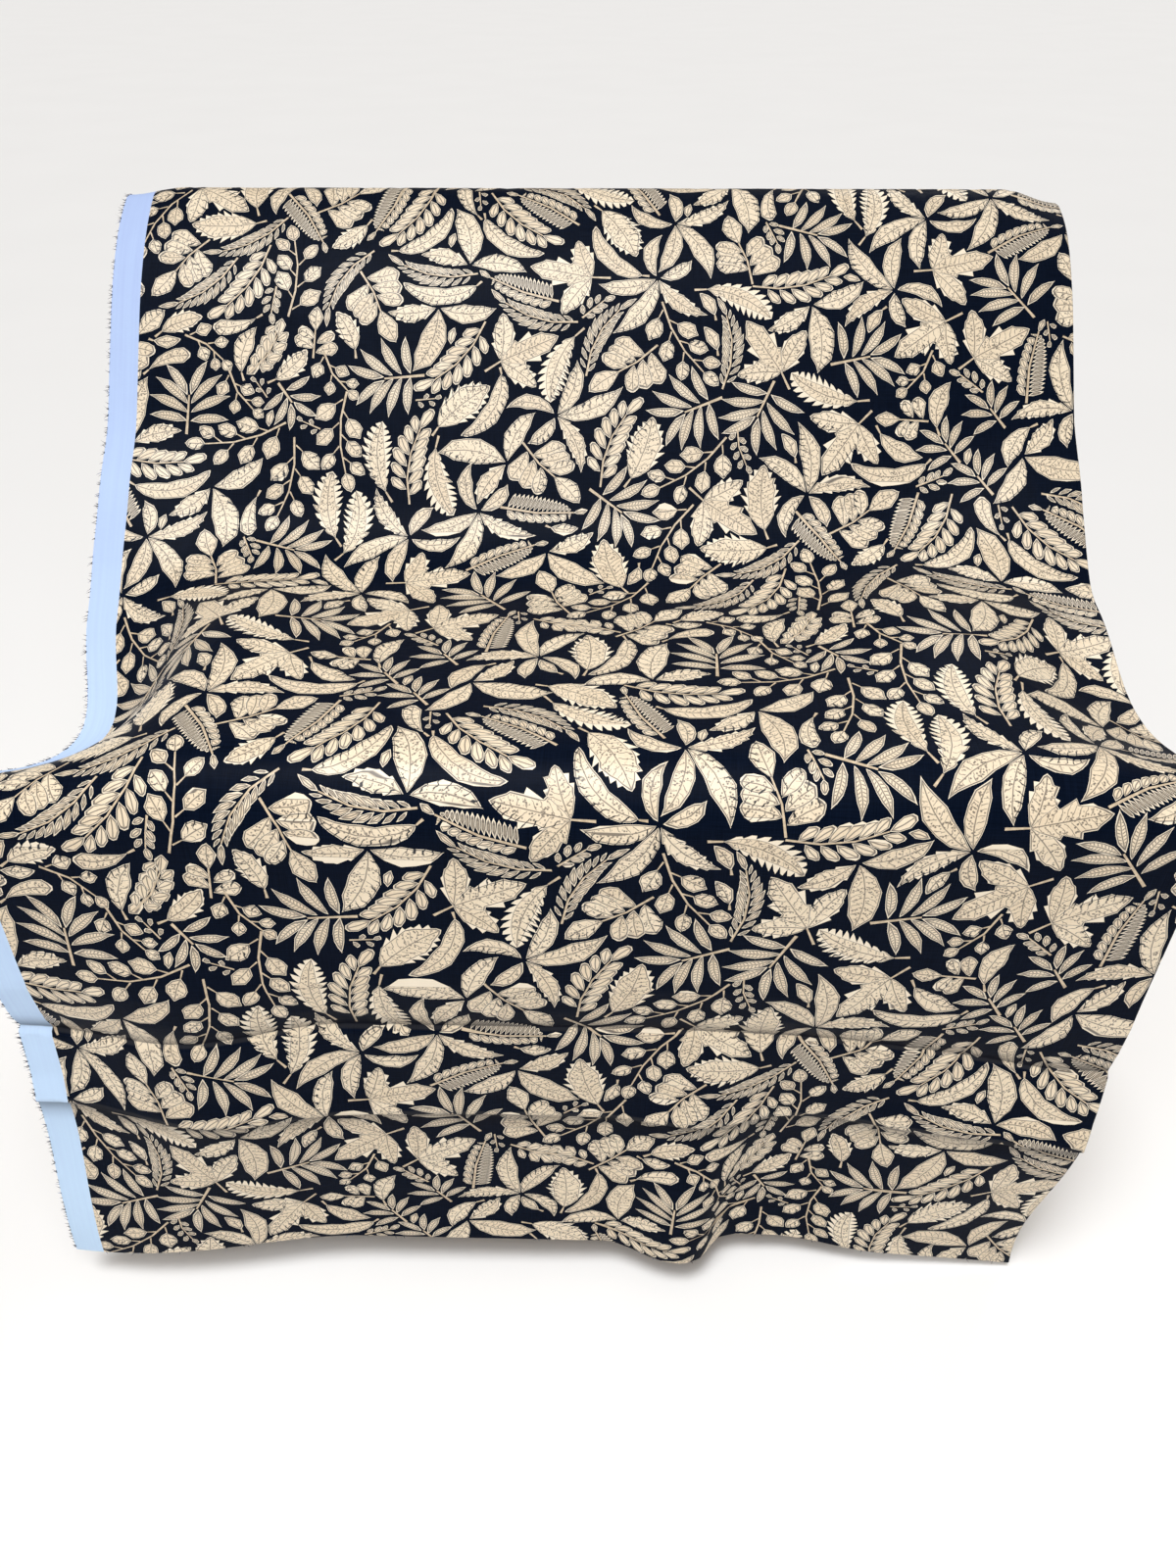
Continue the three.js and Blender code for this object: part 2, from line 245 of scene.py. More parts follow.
# How fast a leaf widens from its base, and how fast it narrows to its tip.
PROFILES = {
    "oval": (0.8, 0.9), "egg": (0.6, 1.0), "lance": (0.9, 1.3), "heart": (0.42, 1.1), "strap": (0.5, 0.8),
    "drop": (1.2, 0.75),
}

# Where teeth or lobes begin and end along a leaf, and each one's corners: how far along it, and how wide.
TEETH_SPAN = (0.04, 0.97)
EDGE_CORNERS = {"teeth": ((0.72, 1.0),), "lobes": ((0.3, 0.97), (0.7, 1.0))}


class Leaf:
    """One printed shape about a bent midrib, with a half-width at stations along it."""

    def __init__(
        self, at, heading, length, half, bend=0.0, profile="oval", edge="smooth", teeth=0, cut=0.25,
        style="leaf", stations=6,
    ):
        self.at = np.array(at, float)
        self.heading, self.length, self.half, self.bend, self.style = heading, length, half, bend, style
        self.slant = 0.0 if style == "stem" else VEIN_SLANT
        if style == "stem":
            self.sigma = np.linspace(0, length, stations)
            self.width = np.linspace(half, half * STEM_TAPER, stations)
            return
        base, tip = PROFILES[profile]
        peak = base / (base + tip)

        def outline(tau):
            return half * (tau / peak) ** base * ((1 - tau) / (1 - peak)) ** tip

        if edge == "smooth":
            tau = (1 - np.cos(np.linspace(0, np.pi, stations + 2))) / 2
            self.sigma, self.width = tau * length, outline(tau)
        else:
            steps = np.linspace(*TEETH_SPAN, teeth + 1)
            tau, width = [0.0], [0.0]
            for low, high in zip(steps[:-1], steps[1:]):
                for part, share in ((0, 1 - cut), *EDGE_CORNERS[edge]):
                    place = low + (high - low) * part
                    tau.append(place)
                    width.append(outline(place) * share)
            tau.append(1.0)
            width.append(0.0)
            self.sigma, self.width = np.array(tau) * length, np.array(width)
        self.width = self.width * (1 + WOBBLE * np.sin(np.arange(len(self.width)) * WOBBLE_TURN + length))
        self.width[0] = self.width[-1] = 0.0

    def place(self, along, off):
        """Where the point at an arc length and an offset to the left lies."""
        turn = self.bend / self.length
        ahead = self.heading + turn * along
        if abs(turn) < 1e-6:
            x, y = along * math.cos(self.heading), along * math.sin(self.heading)
        else:
            x = (np.sin(ahead) - math.sin(self.heading)) / turn
            y = -(np.cos(ahead) - math.cos(self.heading)) / turn
        return np.stack([self.at[0] + x - off * np.sin(ahead), self.at[1] + y + off * np.cos(ahead)], -1)

    def outline(self):
        """The shape's corners, anticlockwise."""
        reach = np.minimum(self.sigma + self.slant * self.width, self.length)
        reach[-1] = self.length
        right, left = self.place(reach, -self.width), self.place(reach, self.width)
        if self.style == "stem":
            return np.concatenate([right, left[::-1]])
        return np.concatenate([right, left[-2:0:-1]])

    def midrib(self):
        count = 2 if self.style in ("fine", "plain") else max(int(self.length / RIB_STEP), 2)
        along = np.linspace(0, self.length, count + 1)
        return self.place(along, np.zeros_like(along))

    def inside_frame(self, points):
        """Slanted distance along the midrib, offset from it and distance inside the edge, of any points."""
        dx, dy = points[..., 0] - self.at[0], points[..., 1] - self.at[1]
        turn = self.bend / self.length
        if abs(turn) < 1e-6:
            along = dx * math.cos(self.heading) + dy * math.sin(self.heading)
            off = -dx * math.sin(self.heading) + dy * math.cos(self.heading)
        else:
            rx = dx + math.sin(self.heading) / turn
            ry = dy - math.cos(self.heading) / turn
            sign = 1.0 if turn > 0 else -1.0
            angle = np.arctan2(sign * ry, sign * rx) + math.pi / 2 - self.heading
            angle = (angle + math.pi) % (2 * math.pi) - math.pi
            along = angle / turn
            off = (1 / abs(turn) - np.hypot(rx, ry)) * sign
        sigma = along - self.slant * np.abs(off)
        inside = np.interp(sigma, self.sigma, self.width, left=-9, right=-9) - np.abs(off)
        return sigma, off, inside

    def printed(self, shift, detail):
        """The shape moved by whole repeats, with no more stations than the detail allows."""
        stations, ribbed = detail[self.style]
        copy = self.moved(shift, 0.0, False)
        last = len(self.sigma) - 1
        if last - 1 > stations:
            kept = np.unique(np.rint(np.linspace(0, last, stations + 2)).astype(int))
            copy.sigma, copy.width = copy.sigma[kept], copy.width[kept]
        copy.ribbed = ribbed
        return copy

    def moved(self, at, angle, mirror):
        copy = object.__new__(Leaf)
        copy.__dict__.update(self.__dict__)
        flip = -1 if mirror else 1
        x, y = self.at[0], self.at[1] * flip
        copy.at = np.array([
            at[0] + x * math.cos(angle) - y * math.sin(angle),
            at[1] + x * math.sin(angle) + y * math.cos(angle),
        ])
        copy.heading = self.heading * flip + angle
        copy.bend = self.bend * flip
        return copy


def stem(at, heading, length, bend, half):
    return Leaf(at, heading, length, half, bend, style="stem", stations=2 + int(length * abs(bend) / 12))


def on_stem(rib, along, side=0):
    """A place on the stem, or just beside it, and the stem's heading there."""
    off = side * (rib.width[0] + STEM_CLEAR)
    return rib.place(np.array(along), np.array(off)), rib.heading + rib.bend / rib.length * along


def leaf_on(rib, along, side, lean, *sizes, **drawn):
    """A leaf that springs from the stem, on one side or at its end (0), at an angle to it."""
    at, heading = on_stem(rib, along, side)
    return Leaf(at, heading + lean, *sizes, **drawn)


def pinnate(length, pairs, leaf, half, spread, bend, first=0.12, taper=0.35, profile="egg", alternate=0.0):
    """Leaflets in pairs along a stem, with one at its end."""
    rib = stem((0, 0), 0, length, bend, 0.55)
    made = [rib]
    drawn = dict(profile=profile, style="fine", stations=3)
    for index in range(pairs):
        share = first + (1 - first) * index / pairs
        size = 1 - taper * abs(share - 0.45) * 1.6
        for side in (1, -1):
            along = length * share + (alternate * length / pairs if side < 0 else 0)
            lean = side * (spread * (1 - 0.35 * share))
            made.append(leaf_on(rib, along, side, lean, leaf * size, half * size, -side * 0.35, **drawn))
    return made + [leaf_on(rib, length, 0, 0, leaf, half, bend * 0.3, **drawn)]


def comb(length, count, tall, half):
    """A frond with close upright teeth on one side and short broad ones on the other."""
    rib = stem((0, 0), 0, length, 0.35, 0.7)
    made = [rib]
    for index in range(count):
        share = 0.1 + 0.88 * index / count
        size = math.sin(math.pi * min(share * 0.8 + 0.25, 1)) ** 0.5
        along, lean = length * share, 1.25 - 0.3 * share
        made.append(leaf_on(rib, along, 1, lean, tall * size, half, 0.1, "strap", style="fine", stations=2))
        if index % 2 == 0:
            sizes = (tall * 0.8 * size, half * 2.0, 0.5)
            made.append(leaf_on(rib, along, -1, -0.8, *sizes, "egg", style="fine", stations=3))
    sizes = (tall * 0.8, half * 1.6, 0.2)
    return made + [leaf_on(rib, length, 0, 0, *sizes, "lance", style="fine", stations=3)]


def fan(pairs, length, half, stalk, rise):
    """Long leaflets that spring close together from the end of a stalk and arch outward."""
    rib = stem((0, 0), 0, stalk + rise, 0.25, 0.8)
    made = [rib]
    for index in range(pairs):
        share = index / max(pairs - 1, 1)
        size = 0.72 + 0.28 * math.sin(math.pi * (0.2 + 0.6 * share))
        for side in (1, -1):
            sizes = (length * size, half, side * 0.45)
            lean = side * (1.25 - 0.95 * share)
            made.append(leaf_on(rib, stalk + rise * share, side, lean, *sizes, "lance", style="ladder"))
    return made


def single(length, half, bend, profile, stalk, edge="smooth", teeth=0, cut=0.2, stations=8):
    rib = stem((0, 0), 0, stalk, 0.2, 0.7)
    shape = (profile, edge, teeth, cut)
    return [rib, leaf_on(rib, stalk, 0, 0, length, half, bend, *shape, stations=stations)]


def rosette(leaves):
    """Long leaves from one point: heading, length, half-width, bend and edge of each."""
    made = []
    for heading, length, half, bend, edge in leaves:
        teeth = int(length / 5) if edge != "smooth" else 0
        at = ROSETTE_HEART * np.array([math.cos(heading), math.sin(heading)])
        made.append(Leaf(at, heading, length, half, bend, "lance", edge, teeth, 0.22, stations=7))
    return made


def sprig(length, count, leaf, half, bend):
    """Tiny leaves by turns along a thin stem."""
    rib = stem((0, 0), 0, length, bend, 0.45)
    made = [rib]
    drawn = dict(style="plain", stations=2)
    for index in range(count):
        side = 1 if index % 2 else -1
        along = length * (0.15 + 0.8 * index / count)
        made.append(leaf_on(rib, along, side, side * 0.9, leaf, half, -side * 0.3, **drawn))
    return made + [leaf_on(rib, length, 0, 0, leaf, half, **drawn)]


def twig(length, count, leaf, half, bend):
    """Broad pointed leaves on short stalks along a twig."""
    rib = stem((0, 0), 0, length, bend, 0.6)
    made = [rib]
    for index in range(count):
        side = 1 if index % 2 else -1
        at, heading = on_stem(rib, length * (0.1 + 0.85 * index / count), side)
        stalk = stem(at, heading + side * 0.9, leaf * 0.35, -side * 0.3, 0.45)
        size = 1 - 0.3 * index / count
        sizes = (leaf * size, half * size, side * 0.2)
        made += [stalk, leaf_on(stalk, leaf * 0.35, 0, 0, *sizes, "heart", stations=5)]
    return made + [leaf_on(rib, length, 0, 0, leaf * 0.8, half * 0.8, 0, "heart", stations=5)]


def spray(length, pairs, leaf, half):
    """Broad pointed leaves that overlap one another along a short stem, the lowest drawn first."""
    rib = stem((0, 0), 0, length, 0.4, 0.6)
    made = [rib]
    for index in range(pairs):
        share = 0.25 + 0.6 * index / pairs
        size = 1 - 0.25 * index / pairs
        for side in (1, -1):
            along, lean = length * (share + 0.06 * side), side * (1.1 - 0.5 * share)
            made.append(leaf_on(rib, along, side, lean, leaf * size, half * size, side * 0.4, stations=5))
    return made + [leaf_on(rib, length * 0.9, 0, 0, leaf * 1.1, half * 1.05, -0.3, "lance")]


def lobed(size):
    """A leaf of three toothed lobes."""
    rib = stem((0, 0), 0, size * 0.3, 0.2, 0.7)
    made = [rib]
    for lean, share, wide in ((0.95, 0.7, 0.27), (-0.9, 0.78, 0.25), (0.05, 1.0, 0.24)):
        length = size * share
        sizes, teeth = (length, length * wide, lean * 0.35), max(4, int(length / 8))
        made.append(leaf_on(rib, size * 0.3, 0, lean, *sizes, "egg", "teeth", teeth, 0.22))
    return made


def leaflet(length, half, bend):
    return [Leaf((0, 0), 0, length, half, bend, "egg", style="fine", stations=3)]


# The print's motifs, each as its maker and the maker's parameters in their order: large ones first, then
# what fills the gaps between them.
WIDE_ROSETTE = (
    (0.0, 42, 5.8, 0.9, "smooth"), (0.8, 34, 5.2, 0.9, "smooth"), (-0.7, 36, 5.4, -0.9, "teeth"),
    (2.3, 30, 4.2, 1.5, "smooth"), (-1.9, 22, 4.2, -0.9, "smooth"),
)
TRIPLE_ROSETTE = (
    (0.1, 40, 7.6, 0.8, "smooth"), (1.3, 28, 6.0, 0.6, "teeth"), (-1.0, 33, 5.6, -0.9, "smooth"),
)
LARGE = (
    (single, 38, 10.5, 0.4, "egg", 6, "teeth", 8, 0.24),
    (pinnate, 45, 6, 13.5, 3.3, 1.0, 0.7, 0.12, 0.35, "oval", 0.45),
    (fan, 4, 25, 2.8, 8, 15),
    (rosette, WIDE_ROSETTE),
    (spray, 30, 3, 19, 5.4),
    (single, 42, 8.2, 0.8, "oval", 7, "lobes", 9, 0.45),
    (comb, 42, 15, 10, 1.15),
    (twig, 48, 6, 14.5, 5.0, 0.6),
    (lobed, 36),
    (pinnate, 44, 9, 12, 1.9, 0.8, 0.8, 0.06, 0.7, "lance", 0.4),
    (rosette, TRIPLE_ROSETTE),
    (single, 46, 5.2, 1.4, "strap", 4, "smooth", 0, 0, 9),
)
MEDIUM = (
    (single, 29, 5.4, 1.0, "lance", 5),
    (pinnate, 27, 4, 10, 2.9, 1.0, 0.6, 0.12, 0.35, "egg", 0.4),
    (single, 25, 6.4, 0.5, "egg", 5, "teeth", 6, 0.22),
    (fan, 3, 18, 2.3, 6, 8),
    (twig, 27, 4, 10, 3.8, 0.7),
    (spray, 18, 2, 13, 3.9),
    (single, 26, 4.4, -0.9, "drop", 4),
)
SMALL = (
    (sprig, 23, 7, 5.4, 1.7, 0.6),
    (single, 16, 3.5, 0.6, "egg", 3, "smooth", 0, 0, 4),
    (pinnate, 16, 3, 7, 2.0, 1.0, 0.5),
)
TINY = (
    (sprig, 11, 3, 4.2, 1.4, 0.5),
    (leaflet, 10, 2.2, 0.5),
)

# The raster that the motifs are fitted on: two repeats side by side, the second half a repeat up.
CELLS = (480, 320)
CELL = np.array([2 * REPEAT_WIDE / CELLS[0], REPEAT_LONG / CELLS[1]])


def mask_of(leaves):
    """The motif's raster, wrapped round its edges."""
    mask = np.zeros(CELLS, bool)
    for leaf in leaves:
        corners = leaf.outline() / CELL
        low = np.floor(corners.min(0) - 1).astype(int)
        high = np.ceil(corners.max(0) + 2).astype(int)
        columns, rows = np.arange(low[0], high[0]), np.arange(low[1], high[1])
        points = np.stack(np.meshgrid((columns + 0.5) * CELL[0], (rows + 0.5) * CELL[1], indexing="ij"), -1)
        i, j = np.nonzero(leaf.inside_frame(points)[2] > -0.1)
        mask[columns[i] % CELLS[0], rows[j] % CELLS[1]] = True
    return mask


def with_drop(mask):
    return mask | np.roll(mask, (CELLS[0] // 2, CELLS[1] // 2), (0, 1))


def blurred(field, reach):
    fx = np.fft.fftfreq(CELLS[0], CELL[0])[:, None]
    fy = np.fft.rfftfreq(CELLS[1], CELL[1])[None, :]
    return np.fft.irfft2(np.fft.rfft2(field) * np.exp(-2 * (math.pi * reach) ** 2 * (fx**2 + fy**2)), CELLS)


def grown(mask, gap):
    reach = int(gap / CELL.min()) + 1
    out = mask.copy()
    for dx in range(-reach, reach + 1):
        for dy in range(-reach, reach + 1):
            if math.hypot(dx * CELL[0], dy * CELL[1]) <= gap:
                out |= np.roll(mask, (dx, dy), (0, 1))
    return out


# Each group of motifs: rounds, turns tried, overlap let through, gap, reach of the pull to neighbours, and
# how many places a motif takes in a round.
GROUPS = (
    (LARGE, 8, 8, 0.09, 1.6, 7, 1),
    (MEDIUM, 2, 8, 0.07, 1.8, 5, 2),
    (SMALL, 2, 6, 0.05, 1.9, 3.5, 4),
    (TINY, 1, 6, 0.04, 2.0, 3, 6),
)
APART = 30
OVERLAP_COST, SCORE_STEPS = 0.7, 500


class Layout:
    """The repeat as it fills: what is taken, and the motifs placed so far."""

    def __init__(self):
        self.random = np.random.default_rng(SEED)
        self.taken = np.zeros(CELLS, bool)
        self.placed = []

    def options(self, leaves, turns, slack, gap, pull, places):
        """Where a motif fits, best first: score, place, angle and whether it is mirrored."""
        blocked = grown(self.taken, gap)
        field = np.fft.rfft2(blurred(self.taken, pull) - blocked / slack * OVERLAP_COST)
        start = self.random.integers(0, 360)
        found = []
        for turn in range(turns):
            angle = math.radians(start + 360 * turn / turns)
            mirror = turn % 2 == 1
            mask = mask_of([leaf.moved((0, 0), angle, mirror) for leaf in leaves])
            area = mask.sum()
            fit = np.fft.irfft2(field * np.conj(np.fft.rfft2(mask)), CELLS)
            score = np.rint(fit / area * SCORE_STEPS)
            for _ in range(places):
                place = np.unravel_index(np.argmax(score), CELLS)
                cover = np.roll(mask, place, (0, 1)) & blocked
                if cover.sum() > slack * area:
                    break
                found.append((score[place], place, angle, mirror))
                clear(score, place)
        return sorted(found, key=lambda option: -option[0])

    def put(self, leaves, turns, slack, gap, pull, places):
        """Puts a motif in its best places, and tells whether it found any."""
        kept = []
        for option in self.options(leaves, turns, slack, gap, pull, places):
            if len(kept) < places and all(apart(option[1], other[1]) for other in kept):
                kept.append(option)
        for _, place, angle, mirror in kept:
            posed = [leaf.moved(place * CELL, angle, mirror) for leaf in leaves]
            self.placed.append(posed)
            self.taken |= with_drop(mask_of(posed))
        return bool(kept)


def clear(score, place):
    """Rules out the places near one that is taken, and near its half-drop twin."""
    reach = int(APART / CELL[0])
    near = np.arange(-reach, reach + 1)
    for drop in (0, 1):
        columns = (place[0] + drop * CELLS[0] // 2 + near) % CELLS[0]
        rows = (place[1] + drop * CELLS[1] // 2 + near) % CELLS[1]
        score[np.ix_(columns, rows)] = -1e9


def apart(one, other):
    """Whether two places lie far enough apart, counting their half-drop twins."""
    for drop in (0, 1):
        columns = (one[0] - other[0] + drop * CELLS[0] // 2) % CELLS[0]
        rows = (one[1] - other[1] + drop * CELLS[1] // 2) % CELLS[1]
        if max(min(columns, CELLS[0] - columns) * CELL[0], min(rows, CELLS[1] - rows) * CELL[1]) < APART:
            return False
    return True


def pack():
    """Places the motifs over the repeat, each as close to its neighbours as it fits."""
    layout = Layout()
    for group, rounds, *rules in GROUPS:
        alive = [make(*sizes) for make, *sizes in group]
        for _ in range(rounds):
            alive = [leaves for leaves in alive if layout.put(leaves, *rules)]
    return layout.placed


# The cut sheet as triangles, whose edges follow the print's outlines. "wide" and "run" in millimetres.
SELVEDGE = 16.5
CREASES = [(STEP_RUN + STEP_ABOVE, STEP_BOW)]
CREASES += [
    (at + away, bow)
    for at, bow, below, above, _ in PRESSES
    for away in (-below, -below / 2, 0, above / 4, above)
]

# The sheet's bends, whose lines keep its curves smooth: first run, last run and step.
BEND_LINES = ((291, 367, 9.5), (486, 582, 16), (777, 825, 6))
FOLD_LINES = 4
EDGE_STEP, CROSS_STEP = 10.0, 60
CLOSE = 1e-3
REAR_RUN = 812.0
BEHIND_WIDE = FRONT_WIDE + 6

# For each part of the sheet: the stations that a shape of each style keeps, and whether it keeps its
# midrib.
WHOLE = (99, True)
FRONT_DETAIL = {"leaf": WHOLE, "ladder": WHOLE, "fine": WHOLE, "plain": WHOLE, "stem": (99, False)}
LEAST = (1, False)
REAR_DETAIL = {"leaf": (3, True), "ladder": (2, True), "fine": LEAST, "plain": LEAST, "stem": LEAST}
BEHIND_DETAIL = {"leaf": (2, False), "ladder": LEAST, "fine": LEAST, "stem": (0, False)}
COVERED_DETAIL = {"leaf": LEAST}

# Behind the front layer the smallest motifs are left out, and against the boards all but the broad leaves.
BEHIND_LEAST = 19.0
COVERED_RUN, COVERED_ACROSS = (330.0, 790.0), 165.0

# The columns and rows of repeats that reach the sheet.
REPEAT_COLUMNS, REPEAT_ROWS = range(-1, 5), range(-4, 4)


def detail_at(low, high):
    """How much of a motif is drawn: less at the rear, between the layers and against the boards."""
    if low[0] < BEHIND_WIDE:
        return REAR_DETAIL if low[1] > REAR_RUN else FRONT_DETAIL
    centre = FRONT_WIDE + FOLD_WIDE + FOLD_AXIS
    across = max(abs(low[0] - centre), abs(high[0] - centre))
    if COVERED_RUN[0] < low[1] and high[1] < COVERED_RUN[1] and across < COVERED_ACROSS:
        return COVERED_DETAIL
    return BEHIND_DETAIL if (high - low).max() > BEHIND_LEAST else {}


def across_at(wide):
    return HALF_WIDTH - np.abs(wide - FRONT_WIDE - FOLD_WIDE / 2)


def lines_between(low, high, step):
    return np.linspace(low, high, int(round((high - low) / step)) + 1)


def sheet_leaves(placed):
    """Every printed shape on the sheet."""
    leaves = []
    shifts = [
        (column * REPEAT_WIDE, column * HALF_DROP + row * REPEAT_LONG)
        for column in REPEAT_COLUMNS
        for row in REPEAT_ROWS
    ]
    for motif in placed:
        corners = np.concatenate([leaf.outline() for leaf in motif])
        for shift in shifts:
            low, high = corners.min(0) + shift, corners.max(0) + shift
            if (high > 0).all() and (low < (SHEET_WIDTH, LENGTH)).all():
                detail = detail_at(low, high)
                leaves += [leaf.printed(shift, detail) for leaf in motif if leaf.style in detail]
    return leaves


class Plan:
    """Corners, edges and faces for the triangulation."""

    def __init__(self):
        self.points, self.edges, self.faces, self.count = [], [], [], 0

    def add(self, points):
        start = self.count
        self.points.append(points)
        self.count += len(points)
        return start

    def line(self, points):
        start = self.add(points)
        self.edges += [(start + index, start + index + 1) for index in range(len(points) - 1)]

    def face(self, points):
        start = self.add(points)
        self.faces.append(list(range(start, start + len(points))))


def plan_sheet(leaves):
    """The sheet's border, selvedges, fold, creases and bends, and over them the printed shapes."""
    plan = Plan()
    across = lines_between(0, SHEET_WIDTH, CROSS_STEP)
    hem = lines_between(0, SHEET_WIDTH, EDGE_STEP)
    along = lines_between(0, LENGTH, EDGE_STEP)
    border = [(0, run) for run in along[:-1]] + [(wide, LENGTH) for wide in hem[:-1]]
    border += [(SHEET_WIDTH, run) for run in along[:0:-1]] + [(wide, 0) for wide in hem[:0:-1]]
    plan.face(np.array(border)[::-1])
    fold = np.linspace(FRONT_WIDE, FRONT_WIDE + FOLD_WIDE, FOLD_LINES)
    for wide in (SELVEDGE, SHEET_WIDTH - SELVEDGE, *fold):
        plan.line(np.stack([np.full(len(along), wide), along], -1))
    bends = [(run, 0.0) for low, high, step in BEND_LINES for run in lines_between(low, high, step)]
    for index, (run, bow) in enumerate(CREASES + bends):
        # Every other line ends just behind the fold.
        reach = across if index % 2 else across[across < FRONT_WIDE + CROSS_STEP]
        plan.line(np.stack([reach, run + bow * arch(across_at(reach))], -1))
    for leaf in leaves:
        plan.face(leaf.outline())
        if leaf.ribbed:
            plan.line(leaf.midrib())
    return plan


# The owner of a triangle on the selvedge. On the ground it is -1, one less than the first leaf.
ON_SELVEDGE = -2


def cut_sheet(leaves):
    """The flat sheet's corners and triangles, and each one's owner: the last leaf drawn over it."""
    plan = plan_sheet(leaves)
    points = [Vector(point) for point in np.concatenate(plan.points).tolist()]
    found = delaunay_2d_cdt(points, plan.edges, plan.faces, 0, CLOSE, True)
    flat = np.array([tuple(point) for point in found[0]])
    triangles = np.array(found[2])
    owner = np.array([max(faces) if faces else -1 for faces in found[5]])
    middle = flat[triangles].mean(1)
    kept = (owner >= 0) & (middle > 0).all(1) & (middle < (SHEET_WIDTH, LENGTH)).all(1)
    triangles, owner, middle = triangles[kept], owner[kept] - 1, middle[kept]
    owner[(middle[:, 0] < SELVEDGE) | (middle[:, 0] > SHEET_WIDTH - SELVEDGE)] = ON_SELVEDGE
    used, index = np.unique(triangles, return_inverse=True)
    return flat[used], index.reshape(-1, 3), owner


class Graph:
    """A material's nodes, added one by one."""

    def __init__(self, name):
        self.material = bpy.data.materials.new(name)
        self.material.use_nodes = True
        self.tree = self.material.node_tree
        self.shader = self.tree.nodes["Principled BSDF"]

    def add(self, kind, inputs=(), **settings):
        node = self.tree.nodes.new(kind)
        for key, value in settings.items():
            setattr(node, key, value)
        for key, value in dict(inputs).items():
            self.set(node.inputs[key], value)
        return node

    def set(self, socket, value):
        if isinstance(value, bpy.types.NodeSocket):
            self.tree.links.new(value, socket)
        elif socket.type == "RGBA":
            socket.default_value = (*value, 1)
        else:
            socket.default_value = value

    def finish(self, **inputs):
        for key, value in inputs.items():
            self.set(self.shader.inputs[key.replace("_", " ")], value)
        return self.material

    def math(self, operation, *values, clamp=False):
        return self.add("ShaderNodeMath", enumerate(values), operation=operation, use_clamp=clamp).outputs[0]

    def plus(self, value, other, clamp=False):
        return self.math("ADD", value, other, clamp=clamp)

    def minus(self, value, other, clamp=False):
        return self.math("SUBTRACT", value, other, clamp=clamp)

    def times(self, value, *others):
        for other in others:
            value = self.math("MULTIPLY", value, other)
        return value

    def over(self, value, other, clamp=False):
        return self.math("DIVIDE", value, other, clamp=clamp)

    def size(self, value):
        return self.math("ABSOLUTE", value)

    def along(self, vector, direction):
        """How far the vector reaches in a direction."""
        node = self.add("ShaderNodeVectorMath", enumerate((vector, direction)), operation="DOT_PRODUCT")
        return node.outputs["Value"]

    def mix(self, share, low, high):
        node = self.add("ShaderNodeMix", data_type="RGBA")
        for socket, value in zip((node.inputs[0], node.inputs[6], node.inputs[7]), (share, low, high)):
            self.set(socket, value)
        return node.outputs[2]

    def band(self, value, centre, half, soft):
        """One where the value lies within half of centre, falling to nothing over soft."""
        away = self.size(self.minus(value, centre))
        return self.over(self.minus(half + soft, away), soft, clamp=True)

    def above(self, value, edge, soft):
        """One where the value is above the edge, nothing where it is below, softly between."""
        return self.over(self.minus(value, edge - soft / 2), soft, clamp=True)

    def below(self, value, edge, soft):
        return self.minus(1.0, self.above(value, edge, soft))

    def noise(self, where, scale, detail=2.0, rough=0.5):
        """Soft noise at a scale, or at one for each axis."""
        if isinstance(scale, tuple):
            node = self.add("ShaderNodeVectorMath", enumerate((where, scale)), operation="MULTIPLY")
            where, scale = node.outputs["Vector"], 1.0
        inputs = {"Vector": where, "Scale": scale, "Detail": detail, "Roughness": rough}
        return self.add("ShaderNodeTexNoise", inputs).outputs["Fac"]

    def uv(self, name):
        return self.add("ShaderNodeUVMap", uv_map=name).outputs[0]

    def place(self):
        return self.add("ShaderNodeTexCoord").outputs["Object"]

    def split(self, vector):
        node = self.add("ShaderNodeSeparateXYZ", {0: vector})
        return node.outputs[0], node.outputs[1]

    def bump(self, height, strength, distance, **base):
        inputs = {"Height": height, "Strength": strength, "Distance": distance, **base}
        return self.add("ShaderNodeBump", inputs).outputs[0]


# The cotton. Colours are linear.
GROUND_DARK, GROUND_LIGHT = (0.0008, 0.0026, 0.0080), (0.0026, 0.0060, 0.0165)
LEAF_DARK, LEAF_LIGHT, LEAF_RIM = (0.69, 0.56, 0.395), (0.83, 0.715, 0.545), (0.88, 0.80, 0.66)
INK, STEM_DARK = (0.045, 0.036, 0.034), (0.40, 0.31, 0.21)
SELVEDGE_PALE, SELVEDGE_BLUE = (0.56, 0.74, 0.96), (0.40, 0.51, 0.80)
THREAD_DARK, THREAD_PALE = (0.012, 0.018, 0.045), (0.22, 0.28, 0.45)
# The painted shade in the creases' lee, and the painted highlight on their lit lips, drawn as a pale worn
# edge, with its strength.
SHADE, WORN_HIGHLIGHT_COLOUR, WORN_HIGHLIGHT = (0.006, 0.006, 0.009), (0.80, 0.74, 0.64), 0.02

# One thread's width in metres, how finely the threads vary, and how much of the height is the weave itself.
THREAD, SLUB, KNIT_SHARE = 0.00045, (60, 1900), 0.35

# Strength and depth in metres of the threads' bumps, and of the crumples' below them with their noise.
THREAD_BUMP, CRUMPLE_BUMP, CRUMPLE_NOISE = (0.16, 0.00018), (0.35, 0.0012), (55.0, 3.0, 0.55)

# Each pressed crease in metres: its run, its bow, the side its lee lies on (-1 below, 1 above), how far the
# lee's painted shade reaches, how deep it is, and how far from the crease lies the painted highlight on its
# lit lip, drawn as a pale worn edge.
CREASE_SHADES = ((0.119, -0.003, -1, 0.018, 0.72, 0.0012), (0.1675, 0.0155, 1, 0.012, 0.72, 0.0010))

